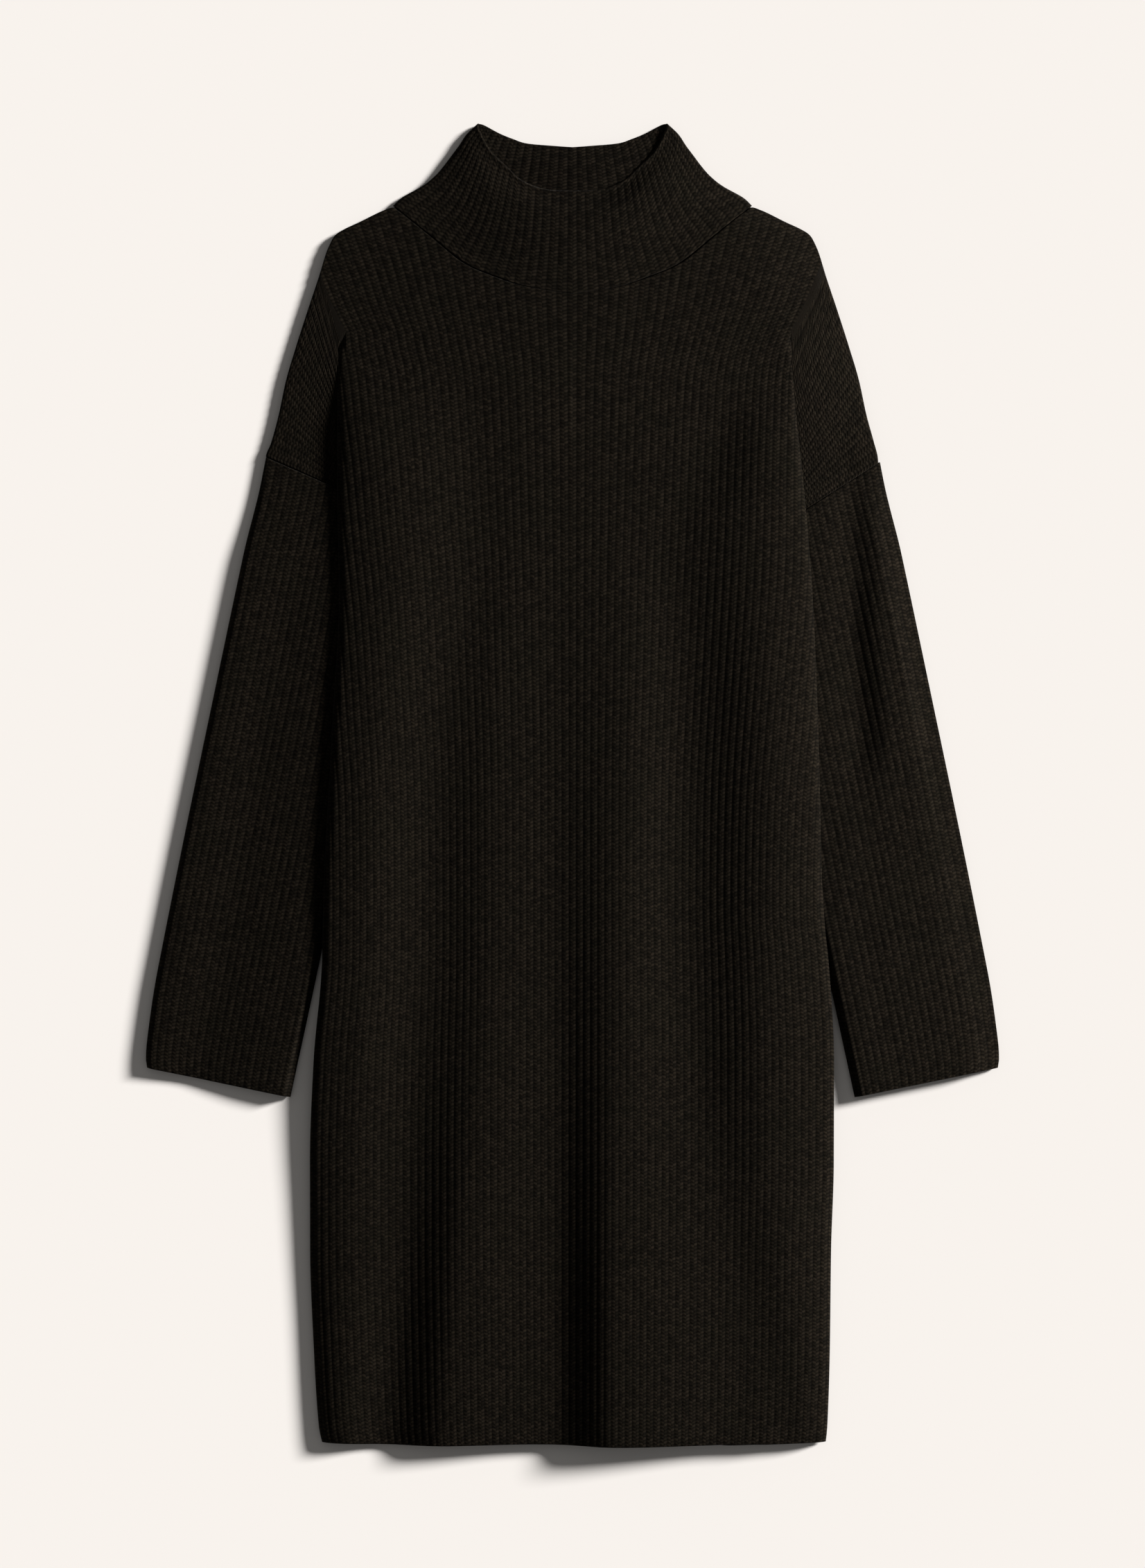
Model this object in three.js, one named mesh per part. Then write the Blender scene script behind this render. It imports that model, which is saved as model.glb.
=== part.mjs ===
import * as THREE from 'three';

// Knee-length sweater dress in a chunky one-by-one rib, laid flat and face up. Sizes in mm.
// x runs across the dress, y from hem to neck, z up from the surface it lies on.

const WALL = 2.4;
const RIB_RISE = 1.1;
const BACK_WALL = 2.5;
const FRONT_UNDER = BACK_WALL + 0.4;
const SIDE_RIBS = 36;
const FOLD_RIB = 26;
const FOLD_TOP = 358;
const FAN_RIBS = 20;
const FAN_POWER = 0.85;
const TUCK = 9;
const ARM_LIFT = 7.2;
const LIFT_RAMP = 45;
const EDGE_CURL = 2.2;
const CHEST_RISE = 9;
const BACK_INSET = 4.5;
const SLEEVE_RIBS = 20;
const SLEEVE_LEAN = 11.6;
const SLEEVE_START = { x: 243, y: 259 };
const COLLAR_RIBS = 38;
const COLLAR_CROWN = 6;
const MIDDLE_SHIFT = 0.5;
const CLOTH = 0x1d1a16;

const columns = (names, rows) =>
  rows.map((row) => Object.fromEntries(names.map((name, i) => [name, row[i]])));
const points = (rows) => rows.map(([x, y]) => new THREE.Vector2(x, y));

// Half width of the front down the fold over each arm and the side below it.
const SIDE_EDGE = columns(['y', 'left', 'right'], [
  [-524, 198, 200.5],
  [-510, 201, 202],
  [-450, 205, 204],
  [-368, 208, 205],
  [-300, 208, 207],
  [-220, 205, 207],
  [-138, 198, 202.4],
  [-104, 197.5, 198.5],
  [44, 190.3, 194.5],
  [150, 185, 190],
  [234, 186.5, 183],
  [310, 186.3, 175],
  [346, 184.6, 173],
  [358, 179.3, 172.7],
]);

// Width of one rib at the middle of the front.
const RIB_PITCH = columns(['y', 'wide'], [
  [-524, 5.5],
  [-310, 5.6],
  [0, 5.65],
  [100, 5.9],
  [171, 6.1],
  [204, 6.3],
  [281, 6.7],
  [325, 7.05],
  [347, 7.6],
  [380, 8.25],
  [402, 8.6],
  [460, 9.6],
]);

// Which rib, counted from the middle, lies on the fold or side edge.
const EDGE_RIB = columns(['y', 'rib'], [
  [-524, 36.002],
  [-112, 36],
  [-30, 35.3],
  [54, 33.5],
  [169, 30.9],
  [246, 29.7],
  [290, 28.7],
  [323, 28],
  [347, 27],
  [358, 26],
]);

// Neckline, shoulder and upper arm edge of the front.
const FRONT_TOP = columns(['x', 'y'], [
  [0, 387],
  [23, 390.6],
  [41, 394],
  [58, 400],
  [84, 411],
  [113, 434],
  [139, 454.6],
  [144, 457.6],
  [149, 456.6],
  [169, 446],
  [181, 440],
  [188, 435],
  [194, 424],
  [201, 402],
  [210, 375],
]);

const HEM = columns(['x', 'front', 'back'], [
  [-201, -521.5, -521],
  [-120, -523.4, -522.8],
  [-40, -522.6, -522],
  [40, -523.6, -523],
  [100, -522.8, -522.6],
  [124, -522.4, -524.6],
  [146, -522.6, -524],
  [201, -521.2, -520.6],
]);

// Outer edge of the upper arm, and below it the sleeve seam back in to the body.
const ARM_EDGE = columns(['y', 'left', 'right'], [
  [205, 182, 181],
  [217, 182, 182.5],
  [226, 182, 197],
  [234, 186, 209.6],
  [254, 231, 242.2],
  [259, 243, 241.8],
  [270, 239, 239],
  [292, 233, 233],
  [320, 227, 227],
  [347, 219, 219],
  [375, 210, 210],
  [402, 201, 201],
  [424, 194, 194],
  [435, 188, 188],
]);

// How far in the sleeve hidden under the body reaches.
const ARM_REACH = columns(['y', 'x'], [
  [-420, 249],
  [-134, 192],
  [0, 164],
  [190, 119],
  [250, 140],
  [300, 156],
  [358, 160],
]);

// Soft folds of the front: height of its edges, then each crest or trough line from left to right.
const FOLD_EDGES = columns(['y', 'left', 'right'], [
  [-524, 1, 1],
  [-423, 1, 1.5],
  [-325, 3.4, 3.4],
  [-228, 6.8, 7],
  [-134, 7.6, 7.8],
  [240, 7.6, 7.8],
  [300, 7, 7],
]);
const FOLD_LINES = [
  [[-524, -180, 6], [-423, -180, 6.4], [-325, -178, 7], [-228, -174, 9], [-134, -170, 10.8],
    [-10, -164, 11.4], [100, -154, 11.4], [200, -146, 10.8], [300, -160, 8.4]],
  [[-524, -148, 0.6], [-423, -140, 0.6], [-325, -131, 0.6], [-228, -124, 1], [-134, -112, 1.4],
    [-10, -104, 1.8], [100, -88, 2.4], [200, -66, 2.4], [300, -90, 2]],
  [[-524, -100, 11], [-423, -92, 10.4], [-325, -82, 9.2], [-228, -70, 7.2], [-134, -64, 5.8],
    [-10, -62, 5], [100, -58, 3.6], [200, -44, 2.8], [300, -40, 2.4]],
  [[-524, -14, 4.4], [-423, -14, 4], [-228, -15, 3.2], [-10, -18, 3], [100, -16, 2.4],
    [300, -10, 2.4]],
  [[-524, 34, 17], [-423, 34, 16.6], [-325, 34, 14.4], [-228, 36, 12.4], [-134, 38, 10.6],
    [-10, 42, 8.6], [100, 44, 5.4], [200, 36, 3.4], [300, 30, 2.8]],
  [[-524, 150, 7], [-423, 138, 8], [-325, 114, 8], [-228, 96, 5], [-134, 90, 4], [-10, 88, 2.8],
    [100, 84, 2.4], [200, 70, 2.8], [250, 100, 2.8], [300, 116, 2.8]],
  [[-524, 178, 5], [-423, 168, 9.2], [-325, 158, 12], [-228, 155, 13.2], [-134, 157, 14],
    [-10, 160, 14], [100, 158, 13.4], [200, 157, 12.2], [300, 158, 8.8]],
].map((rows) => columns(['y', 'x', 'z'], rows));

// Half width of the laid dress from the upper arms to the tips of the collar.
const UPPER_EDGE = columns(['y', 'x'], [
  [240, 235], [259, 243], [347, 219], [402, 201], [435, 188], [446, 168], [459, 143], [474, 119],
  [490, 102], [506, 90], [523.6, 75],
]);

// Sleeve, measured down from the seam (s) and in from the outer edge line (w).
const SLEEVE_OUTER = columns(['s', 'w'], [
  [0, 0],
  [22, 0.2],
  [79, -2],
  [191, -2.6],
  [304, -3],
  [416, -2.4],
  [472, 0.6],
  [486, 2.6],
  [493, 5],
]);
const SLEEVE_INNER = columns(['s', 'w'], [
  [0, 121.5],
  [376, 122],
  [493, 121],
]);
const BODY_OVER_SLEEVE = columns(['s', 'w'], [[0, 58], [90, 76], [172, 90], [300, 105], [376, 122]]);
const SLEEVES = {
  left: {
    seam: columns(['w', 's'], [[0, 0.9], [30, 7.1], [58, 13.1], [61, 13.7], [66, 40], [122, 44]]),
    liftFrom: 226,
    fold: columns(['s', 'foot', 'top', 'fall', 'end', 'high'], [
      [0, -8, 22, 34, 56, 1.6], [120, 12, 42, 52, 76, 4.4], [215, 32, 60, 70, 92, 5],
      [300, 48, 76, 82, 104, 5], [376, 54, 84, 100, 130, 5], [493, 54, 84, 104, 134, 3.6],
    ]),
    inner: 0,
  },
  right: {
    seam: columns(['w', 's'], [[0, 5.7], [30, 16.4], [60, 27.5], [65, 29.4], [71, 70], [122, 76]]),
    liftFrom: 205,
    fold: columns(['s', 'foot', 'top', 'fall', 'end', 'high'], [
      [0, -30, -4, 4, 28, 1], [71, -24, 6, 12, 38, 4], [142, -18, 18, 26, 52, 6],
      [215, -12, 28, 34, 60, 6], [287, -8, 34, 44, 72, 4.6], [387, -8, 32, 42, 70, 3.4],
      [493, -8, 30, 38, 66, 2.6],
    ]),
    inner: 2.6,
  },
};

const BACK_NECK = columns(['x', 'y'], [
  [0, 432.6],
  [36, 434.4],
  [72, 439.6],
  [108, 448],
  [143, 459],
]);
const COLLAR = {
  base: points([[0, 387.6], [23, 391.2], [41, 394.6], [58, 400.6], [84, 411.7], [113, 434.6],
    [138.6, 455.2], [143, 459]]),
  top: points([[0, 469.5], [22, 471], [40, 478], [52, 489], [65, 502], [73, 517], [75, 523.6]]),
  backBase: points(BACK_NECK.map(({ x, y }) => [x, y])),
  backTop: points([[0, 505], [14, 506], [36, 508], [47, 511.5], [58, 516], [70, 522.4],
    [75, 523.6]]),
  side: points([[143, 459], [135, 465], [119, 474], [109, 482], [102, 490], [96, 498],
    [90, 506], [84, 515], [75, 523.6]]),
};

const mix = (a, b, t) => a + (b - a) * t;

function smooth(from, to, at) {
  const t = Math.min(1, Math.max(0, (at - from) / (to - from)));
  return t * t * (3 - 2 * t);
}

// One column of a table as a smooth curve through its rows, level past both ends.
function read(table, key, by, at) {
  const last = table.length - 1;
  const slope = (i) => (table[i + 1][key] - table[i][key]) / (table[i + 1][by] - table[i][by]);
  const bend = (i) => {
    if (i === 0 || i === last) return slope(Math.min(i, last - 1));
    const [before, after] = [slope(i - 1), slope(i)];
    return before * after <= 0 ? 0 : (2 * before * after) / (before + after);
  };
  if (at <= table[0][by]) return table[0][key];
  if (at >= table[last][by]) return table[last][key];
  const k = table.findIndex((row, i) => i < last && at <= table[i + 1][by]);
  const span = table[k + 1][by] - table[k][by];
  const t = (at - table[k][by]) / span;
  const [a, b] = [table[k][key], table[k + 1][key]];
  const [m, n] = [bend(k) * span, bend(k + 1) * span];
  return a + m * t + (3 * (b - a) - 2 * m - n) * t * t + (2 * (a - b) + m + n) * t * t * t;
}

// Height of a rib at rib count u: full on whole numbers, none halfway between.
const ribAt = (u) => (Number.isInteger(u) ? RIB_RISE : 0);

// Cloth between an outer and an inner point at each place, closed along its free edges.
class Cloth {
  constructor() {
    this.outer = [];
    this.inner = [];
    this.faces = [];
  }

  place(outer, inner) {
    this.outer.push(outer);
    this.inner.push(inner);
    return this.outer.length - 1;
  }

  // Rows run up the dress, columns to the right seen from outside.
  grid(rows, mirrored = false) {
    for (let j = 0; j + 1 < rows.length; j += 1) {
      for (let i = 0; i + 1 < rows[j].length; i += 1) {
        const [a, b] = [rows[j][i], rows[j][i + 1]];
        const [c, d] = [rows[j + 1][i + 1], rows[j + 1][i]];
        const cell = [[a, b, c], [a, c, d]].filter((f) => new Set(f).size === 3);
        this.faces.push(...cell.map((f) => (mirrored ? [f[0], f[2], f[1]] : f)));
      }
    }
  }

  geometry() {
    const count = this.outer.length;
    const edges = new Map();
    for (const [a, b, c] of this.faces) {
      for (const [p, q] of [[a, b], [b, c], [c, a]]) {
        if (!edges.delete(`${q},${p}`)) edges.set(`${p},${q}`, [p, q]);
      }
    }
    const index = this.faces.flatMap(([a, b, c]) => [a, b, c, a + count, c + count, b + count]);
    for (const [p, q] of edges.values()) {
      index.push(p, p + count, q + count, p, q + count, q);
    }
    const geometry = new THREE.BufferGeometry();
    const places = [...this.outer, ...this.inner].flat();
    geometry.setAttribute('position', new THREE.Float32BufferAttribute(places, 3));
    geometry.setIndex(index);
    geometry.computeVertexNormals();
    return geometry;
  }
}

// Where rib u of the front lies across the dress at height y.
function across(u, y) {
  const side = u < 0 ? 'left' : 'right';
  const held = Math.min(y, FOLD_TOP);
  const rib = read(EDGE_RIB, 'rib', 'y', held);
  const edge = read(SIDE_EDGE, side, 'y', held);
  const squeeze = (read(RIB_PITCH, 'wide', 'y', held) * rib - edge) / (rib * rib);
  const size = Math.abs(u);
  return Math.sign(u) * (read(RIB_PITCH, 'wide', 'y', y) * size - squeeze * size * size);
}

function topOf(u) {
  let [low, high] = [360, 470];
  for (let i = 0; i < 40; i += 1) {
    const y = (low + high) / 2;
    if (y > read(FRONT_TOP, 'y', 'x', Math.abs(across(u, y)))) high = y;
    else low = y;
  }
  return (low + high) / 2;
}

function foldTopOf(u) {
  let [low, high] = [-112, FOLD_TOP];
  for (let i = 0; i < 40; i += 1) {
    const y = (low + high) / 2;
    if (read(EDGE_RIB, 'rib', 'y', y) > Math.abs(u)) low = y;
    else high = y;
  }
  return (low + high) / 2;
}

// How far the sleeve below raises the back.
function armLift(x, y) {
  const reach = read(ARM_REACH, 'x', 'y', y);
  return ARM_LIFT * smooth(reach - LIFT_RAMP, reach, Math.abs(x));
}

// Height of the soft folds: an S-curve from line to line, and round down to both edges.
function foldRise(x, y) {
  const lines = FOLD_LINES.map((line) => [read(line, 'x', 'y', y), read(line, 'z', 'y', y)]);
  const [[firstX, firstZ], [lastX, lastZ]] = [lines[0], lines[lines.length - 1]];
  const share = (from, to) => Math.min(1, Math.max(0, (x - from) / (to - from)));
  const left = share(firstX, -read(SIDE_EDGE, 'left', 'y', y));
  const right = share(lastX, read(SIDE_EDGE, 'right', 'y', y));
  const edges = (read(FOLD_EDGES, 'left', 'y', y) - firstZ) * left ** 2
    + (read(FOLD_EDGES, 'right', 'y', y) - lastZ) * right ** 2;
  const height = lines.slice(1).reduce(
    (sum, [toX, toZ], i) => sum + (toZ - lines[i][1]) * smooth(lines[i][0], toX, x),
    firstZ + edges,
  );
  return height * smooth(FOLD_TOP, 300, y);
}

// Rise of the chest and shoulders: long from the left, shorter down to the right.
function chestRise(x, y) {
  const half = read(UPPER_EDGE, 'x', 'y', y);
  const along = smooth(120, 400, y) * smooth(510, 430, y);
  return CHEST_RISE * along * smooth(0, 240, half + x) * smooth(0, 70, half - x);
}

const frontUnder = (x, y) => FRONT_UNDER + foldRise(x, y) + chestRise(x, y);

const BODY_ROWS = [0, 0.14, 0.287, 0.457, 0.6, 0.715, 0.81, 0.9, 0.9455, 1];
const TOP_STEPS = [0.5, 0.92, 1];

function bodyColumn(cloth, u) {
  const size = Math.abs(u);
  const hem = read(HEM, 'front', 'x', across(u, -520));
  const start = size > FOLD_RIB ? foldTopOf(u) : FOLD_TOP;
  const heights = BODY_ROWS.map((t) => mix(hem, start, t));
  if (size <= FOLD_RIB) heights.push(...TOP_STEPS.map((t) => mix(FOLD_TOP, topOf(u), t)));
  return heights.map((y, row) => {
    const x = across(u, y);
    const under = frontUnder(x, y);
    const atSide = size === SIDE_RIBS || (size > FOLD_RIB && row === BODY_ROWS.length - 1);
    const atTop = row === heights.length - 1;
    const drop = atSide ? EDGE_CURL * smooth(FOLD_TOP, 300, y) : 0;
    const thick = atSide || atTop ? WALL - 0.3 : WALL + ribAt(u);
    return cloth.place([x, y, under - drop + thick], [x, y, under - drop]);
  });
}

// Upper arm: ribs fan out from under the fold to the outer edge and end at the sleeve seam.
function fan(cloth, side, joined) {
  const sign = side === 'left' ? -1 : 1;
  const top = joined.map((id) => cloth.outer[id]);
  const edgeY = top[top.length - 1][1];
  const seamY = side === 'left' ? 259.2 : 254;
  const [endX, endY] = side === 'left' ? [186.5, 234.4] : [183.5, 217];
  const rows = joined.map(() => []);
  const tuck = [];
  for (let k = 0; k <= 2 * FAN_RIBS; k += 1) {
    const [u, part] = [k / 2, k / (2 * FAN_RIBS)];
    const startY = mix(edgeY, seamY, part);
    const startX = read(ARM_EDGE, side, 'y', startY);
    const stopY = mix(top[0][1], endY, part ** FAN_POWER);
    const slack = 0.5 * smooth(0, 0.1, part);
    const stopX = part === 1 ? endX : read(SIDE_EDGE, side, 'y', stopY) + slack;
    const steps = [0, ...TOP_STEPS];
    steps.forEach((t, row) => {
      if (k === 0) {
        rows[row].push(joined[row]);
        return;
      }
      const x = mix(stopX, startX, t);
      const y = mix(stopY, startY, t);
      const thick = row === steps.length - 1 ? WALL - 0.3 : WALL + ribAt(u);
      const under = FRONT_UNDER + chestRise(sign * x, y);
      rows[row].push(cloth.place([sign * x, y, under + thick], [sign * x, y, under]));
    });
    const inward = TUCK * smooth(0.3, 0.5, part);
    if (inward === 0) {
      tuck.push(rows[0][k]);
    } else {
      const [x, y] = [stopX - inward, stopY - inward * mix(0.5, 0.35, part)];
      const under = FRONT_UNDER + chestRise(sign * x, y);
      tuck.push(cloth.place([sign * x, y, under + WALL], [sign * x, y, under]));
    }
  }
  cloth.grid([tuck, ...rows], side === 'left');
}

function front() {
  const cloth = new Cloth();
  const ids = new Map();
  for (let k = -2 * SIDE_RIBS; k <= 2 * SIDE_RIBS; k += 1) ids.set(k, bodyColumn(cloth, k / 2));
  const block = (from, to, rows) => {
    const keys = Array.from({ length: to - from + 1 }, (_, i) => from + i);
    cloth.grid(rows.map((row) => keys.map((k) => ids.get(k)[row])));
  };
  const lower = BODY_ROWS.map((_, row) => row);
  const all = [...lower, ...TOP_STEPS.map((_, i) => BODY_ROWS.length + i)];
  block(-2 * SIDE_RIBS, -2 * FOLD_RIB, lower);
  block(-2 * FOLD_RIB, 2 * FOLD_RIB, all);
  block(2 * FOLD_RIB, 2 * SIDE_RIBS, lower);
  for (const side of ['left', 'right']) {
    const column = ids.get(side === 'left' ? -2 * FOLD_RIB : 2 * FOLD_RIB);
    fan(cloth, side, column.slice(BODY_ROWS.length - 1));
  }
  return cloth.geometry();
}

// The back lies flat on the surface and rises only over the sleeves.
const BACK_ROWS = [
  -400, -300, -210, -140, -80, -20, 40, 95, 145, 180, 205, 217, 226, 234, 254, 259, 300, 402, 424,
];
const BACK_COLUMNS = 42;

function back() {
  const cloth = new Cloth();
  const place = (x, y) => {
    const { liftFrom } = SLEEVES[x < 0 ? 'left' : 'right'];
    const z = armLift(x, y) * smooth(liftFrom, liftFrom - 26, y);
    return cloth.place([x, y, z + BACK_WALL], [x, y, z]);
  };
  const half = (side, y) => {
    if (y > 205) return read(ARM_EDGE, side, 'y', y);
    return read(SIDE_EDGE, side, 'y', y) - BACK_INSET;
  };
  const steps = Array.from({ length: BACK_COLUMNS + 1 }, (_, i) => (2 * i) / BACK_COLUMNS - 1);
  const spread = (t) => Math.sign(t) * Math.abs(t) ** 0.7;
  const row = (y) => steps.map((t) => {
    const x = spread(t) * half(t < 0 ? 'left' : 'right', y);
    return place(x, y);
  });
  const hem = steps.map((t) => {
    const x = spread(t) * 194;
    return place(x, read(HEM, 'back', 'x', x));
  });
  const top = steps.map((t) => {
    const x = spread(t) * 188;
    const shoulder = Math.abs(x) > 143;
    const line = shoulder ? FRONT_TOP : BACK_NECK;
    return place(x, read(line, 'y', 'x', Math.abs(x)) - (shoulder ? 0.2 : 1));
  });
  cloth.grid([hem, ...BACK_ROWS.map(row), top]);
  return cloth.geometry();
}

// Long soft fold down the sleeve, and on the right sleeve a rise toward the body.
function sleevePuff({ fold, inner }, w, s) {
  const at = (key) => read(fold, key, 's', s);
  const ridge = smooth(at('foot'), at('top'), w) * smooth(at('end'), at('fall'), w);
  const bodyEdge = read(BODY_OVER_SLEEVE, 'w', 's', s);
  return at('high') * ridge
    + inner * smooth(bodyEdge - 40, bodyEdge - 12, w) * smooth(bodyEdge - 2, bodyEdge - 11, w);
}

function sleeve(side) {
  const cloth = new Cloth();
  const { seam } = SLEEVES[side];
  const sign = side === 'left' ? -1 : 1;
  const lean = THREE.MathUtils.degToRad(SLEEVE_LEAN);
  const [sin, cos] = [Math.sin(lean), Math.cos(lean)];
  const position = (w, s, z) =>
    [sign * (SLEEVE_START.x - w * cos + s * sin), SLEEVE_START.y - w * sin - s * cos, z];
  const topLevel = BACK_WALL + 0.4;
  const ring = [];
  for (let k = 0; k <= 2 * SLEEVE_RIBS; k += 1) {
    const f = k / (2 * SLEEVE_RIBS);
    const atEdge = k === 0 || k === 2 * SLEEVE_RIBS;
    ring.push({ f, in: atEdge ? 1.2 : 0, rise: atEdge ? 1.8 : WALL + ribAt(k / 2), top: true });
  }
  ring.push({ f: 1, in: 0, edge: true });
  for (const f of [1, 0.6, 0.575, 0.55, 0.525, 0.5, 0]) ring.push({ f, in: f % 1 ? 0 : 1.8, rise: 0 });
  ring.push({ f: 0, in: 0, edge: true });
  const rows = [0, 0.03, 0.15, 0.32, 0.5, 0.68, 0.84, 1].map((t) => ring.map((p) => {
    const w0 = mix(read(SLEEVE_OUTER, 'w', 's', 0), read(SLEEVE_INNER, 'w', 's', 0), p.f);
    const s = mix(493, read(seam, 's', 'w', Math.max(0, w0)), t);
    const [outer, inner] = [read(SLEEVE_OUTER, 'w', 's', s), read(SLEEVE_INNER, 'w', 's', s)];
    const toward = p.f < 0.5 ? 1 : -1;
    const w = mix(outer, inner, p.f);
    const puff = p.top ? sleevePuff(SLEEVES[side], w, s) * Math.min(1, 8 * p.f * (1 - p.f)) : 0;
    const atEdge = p.f === 0 || p.f === 1;
    const deep = w + (atEdge ? toward * (p.edge ? 2.4 : 3.4) : 0);
    const [outLevel, inLevel] = p.edge ? [2.9, 2.7]
      : [p.top ? topLevel + p.rise : 0, p.top ? topLevel : BACK_WALL];
    const outside = position(w + toward * p.in, s, outLevel + puff);
    return cloth.place(outside, position(deep, s, inLevel + puff));
  }));
  cloth.grid(rows.map((ids) => [...ids, ids[0]]), side === 'right');
  return cloth.geometry();
}

// Funnel collar: one flattened tube, its front edge dipping below the back one.
function collar() {
  const cloth = new Cloth();
  const curves = Object.fromEntries(
    Object.entries(COLLAR).map(([name, list]) => [name, new THREE.SplineCurve(list)]),
  );
  const at = (a, v, low, high) => {
    const size = Math.abs(a);
    const eased = high === 'top' ? mix(size, 1.25 * size - 0.25 * size ** 3, v) : size;
    const [p, q] = [curves[low].getPointAt(size), curves[high].getPointAt(Math.min(1, eased))];
    const [edge, foot, tip] = [v, 0, 1].map((f) => curves.side.getPointAt(f));
    const bow = edge.sub(foot.lerp(tip, v)).multiplyScalar(size * size);
    const flat = p.lerp(q, v).add(bow);
    return [Math.sign(a) * flat.x, flat.y];
  };
  const inset = (a, v, low, high, by) => {
    const [x, y] = at(a, v, low, high);
    const [dx, dy] = [mix(0.6, 0.85, v), mix(0.8, 0.5, v)];
    if (Math.abs(a) < 1) return [x, y];
    return [x - Math.sign(a) * by * dx, y - by * dy * (v > 0.2 ? 1 : 0)];
  };
  const ring = [];
  const half = COLLAR_RIBS;
  for (let k = -half; k <= half; k += 1) ring.push({ a: k / half, u: k / 2, front: true });
  for (let k = half - 2; k >= 2 - half; k -= 2) ring.push({ a: k / half, u: k / 4, front: false });
  const rows = [0, 0.06, 0.35, 0.68, 1].map((v) => ring.map(({ a, u, front: ahead }) => {
    const size = Math.abs(a);
    const [low, high] = ahead ? ['base', 'top'] : ['backBase', 'backTop'];
    const [x, y] = at(a, v, low, high);
    const [ix, iy] = inset(a, v, low, high, 3);
    if (size === 1) return cloth.place([x, y, 3], [ix, iy, 2.7]);
    const crown = COLLAR_CROWN * smooth(0, 0.7, v) * (1 - size ** 3) + chestRise(x, y);
    if (ahead) {
      const rib = v === 0 ? -0.2 : ribAt(u);
      const edge = mix(1.3, WALL + rib, smooth(1, 0.95, size));
      return cloth.place([x, y, FRONT_UNDER + crown + edge], [x, y, FRONT_UNDER + crown]);
    }
    const shown = smooth(0.2, 0.6, v) * smooth(0.9, 0.7, size);
    const rib = Math.abs(u * 2) % 2 === 1 ? 0 : RIB_RISE * shown;
    return cloth.place([x, y, 0], [x, y, BACK_WALL - 0.2 + rib]);
  }));
  cloth.grid(rows.map((ids) => [...ids, ids[0]]));
  return cloth.geometry();
}

function piece(name, geometry) {
  const material = new THREE.MeshStandardMaterial({ color: CLOTH, roughness: 0.95, metalness: 0 });
  const mesh = new THREE.Mesh(geometry.translate(0, MIDDLE_SHIFT, 0), material);
  mesh.name = name;
  return mesh;
}

const group = new THREE.Group();
group.name = 'sweater_dress';
group.add(
  piece('front', front()),
  piece('back', back()),
  piece('sleeve_left', sleeve('left')),
  piece('sleeve_right', sleeve('right')),
  piece('collar', collar()),
);

export default group;
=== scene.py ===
import math

import bpy
import numpy as np
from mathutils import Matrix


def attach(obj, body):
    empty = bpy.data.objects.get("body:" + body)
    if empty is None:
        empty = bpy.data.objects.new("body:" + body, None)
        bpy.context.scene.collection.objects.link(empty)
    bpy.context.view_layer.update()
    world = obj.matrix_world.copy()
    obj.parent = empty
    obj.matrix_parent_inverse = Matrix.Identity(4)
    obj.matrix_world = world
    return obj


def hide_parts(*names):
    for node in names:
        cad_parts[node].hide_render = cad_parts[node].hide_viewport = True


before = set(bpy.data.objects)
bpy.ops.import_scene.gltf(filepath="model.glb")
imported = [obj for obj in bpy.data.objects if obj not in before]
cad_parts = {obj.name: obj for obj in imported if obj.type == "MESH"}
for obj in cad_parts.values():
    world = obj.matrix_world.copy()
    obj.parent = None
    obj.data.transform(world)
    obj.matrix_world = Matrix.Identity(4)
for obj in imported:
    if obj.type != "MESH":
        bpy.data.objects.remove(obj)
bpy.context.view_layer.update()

# A ribbed sweater dress, laid flat and face up. Sizes and tables are in millimetres:
# x runs to the right, y from hem to neck and z up. Points are moved up the dress by
# SHIFT_Y and turned to metres when a mesh is made.
MM = 0.001
SHIFT_Y = 0.5
PHOTO_MM_PER_PIXEL = 0.55
FRAME_LONG_SIDE = 2262 * PHOTO_MM_PER_PIXEL

# Cloth and ribs
WALL = 2.4
RIB_RISE = 0.34
RIB_GROOVE = 0.08
BACK_WALL = 2.5
LAYER_GAP = 0.4
FRONT_UNDER = BACK_WALL + LAYER_GAP
STITCH = 2.86
PER_RIB = 6

# Front and back
SIDE_RIBS = 36
FOLD_RIB = 26
FOLD_TOP = 358
FAN_RIBS = 20
FAN_POWER = 0.55
TUCK = 9
ARM_LIFT = 7.2
LIFT_RAMP = 45
EDGE_CURL = 2.2
CHEST_RISE = 9
BACK_INSET = 4.5

# Sleeves and collar
SLEEVE_RIBS = 20
SLEEVE_WIDE = 121.5
SLEEVE_LONG = 493
SLEEVE_LEAN = math.radians(11.6)
SLEEVE_START = (243, 259)
SEAM_CLOSER = 0.45
EDGE_HEIGHT = 3.0
COLLAR_RIBS = 38
COLLAR_BACK_RIBS = 28
COLLAR_TALL = 82
COLLAR_CROWN = 6
RIM_ROLL = 0.9


def table(names, rows):
    """Named columns of a short table, as arrays."""
    return dict(zip(names, np.array(rows, float).T))


# How far the body's side edges lie from the middle line
SIDE_EDGE = table(
    ("y", "left", "right"),
    [
        (-524, 198, 200.5),
        (-510, 201, 202),
        (-450, 205, 204),
        (-368, 208, 205),
        (-300, 208, 207),
        (-220, 205, 207),
        (-138, 198, 202.4),
        (-104, 197.5, 198.5),
        (44, 190.3, 194.5),
        (150, 185, 190),
        (234, 186.5, 183),
        (310, 186.3, 175),
        (346, 184.6, 173),
        (358, 179.3, 172.7),
    ],
)
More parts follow.
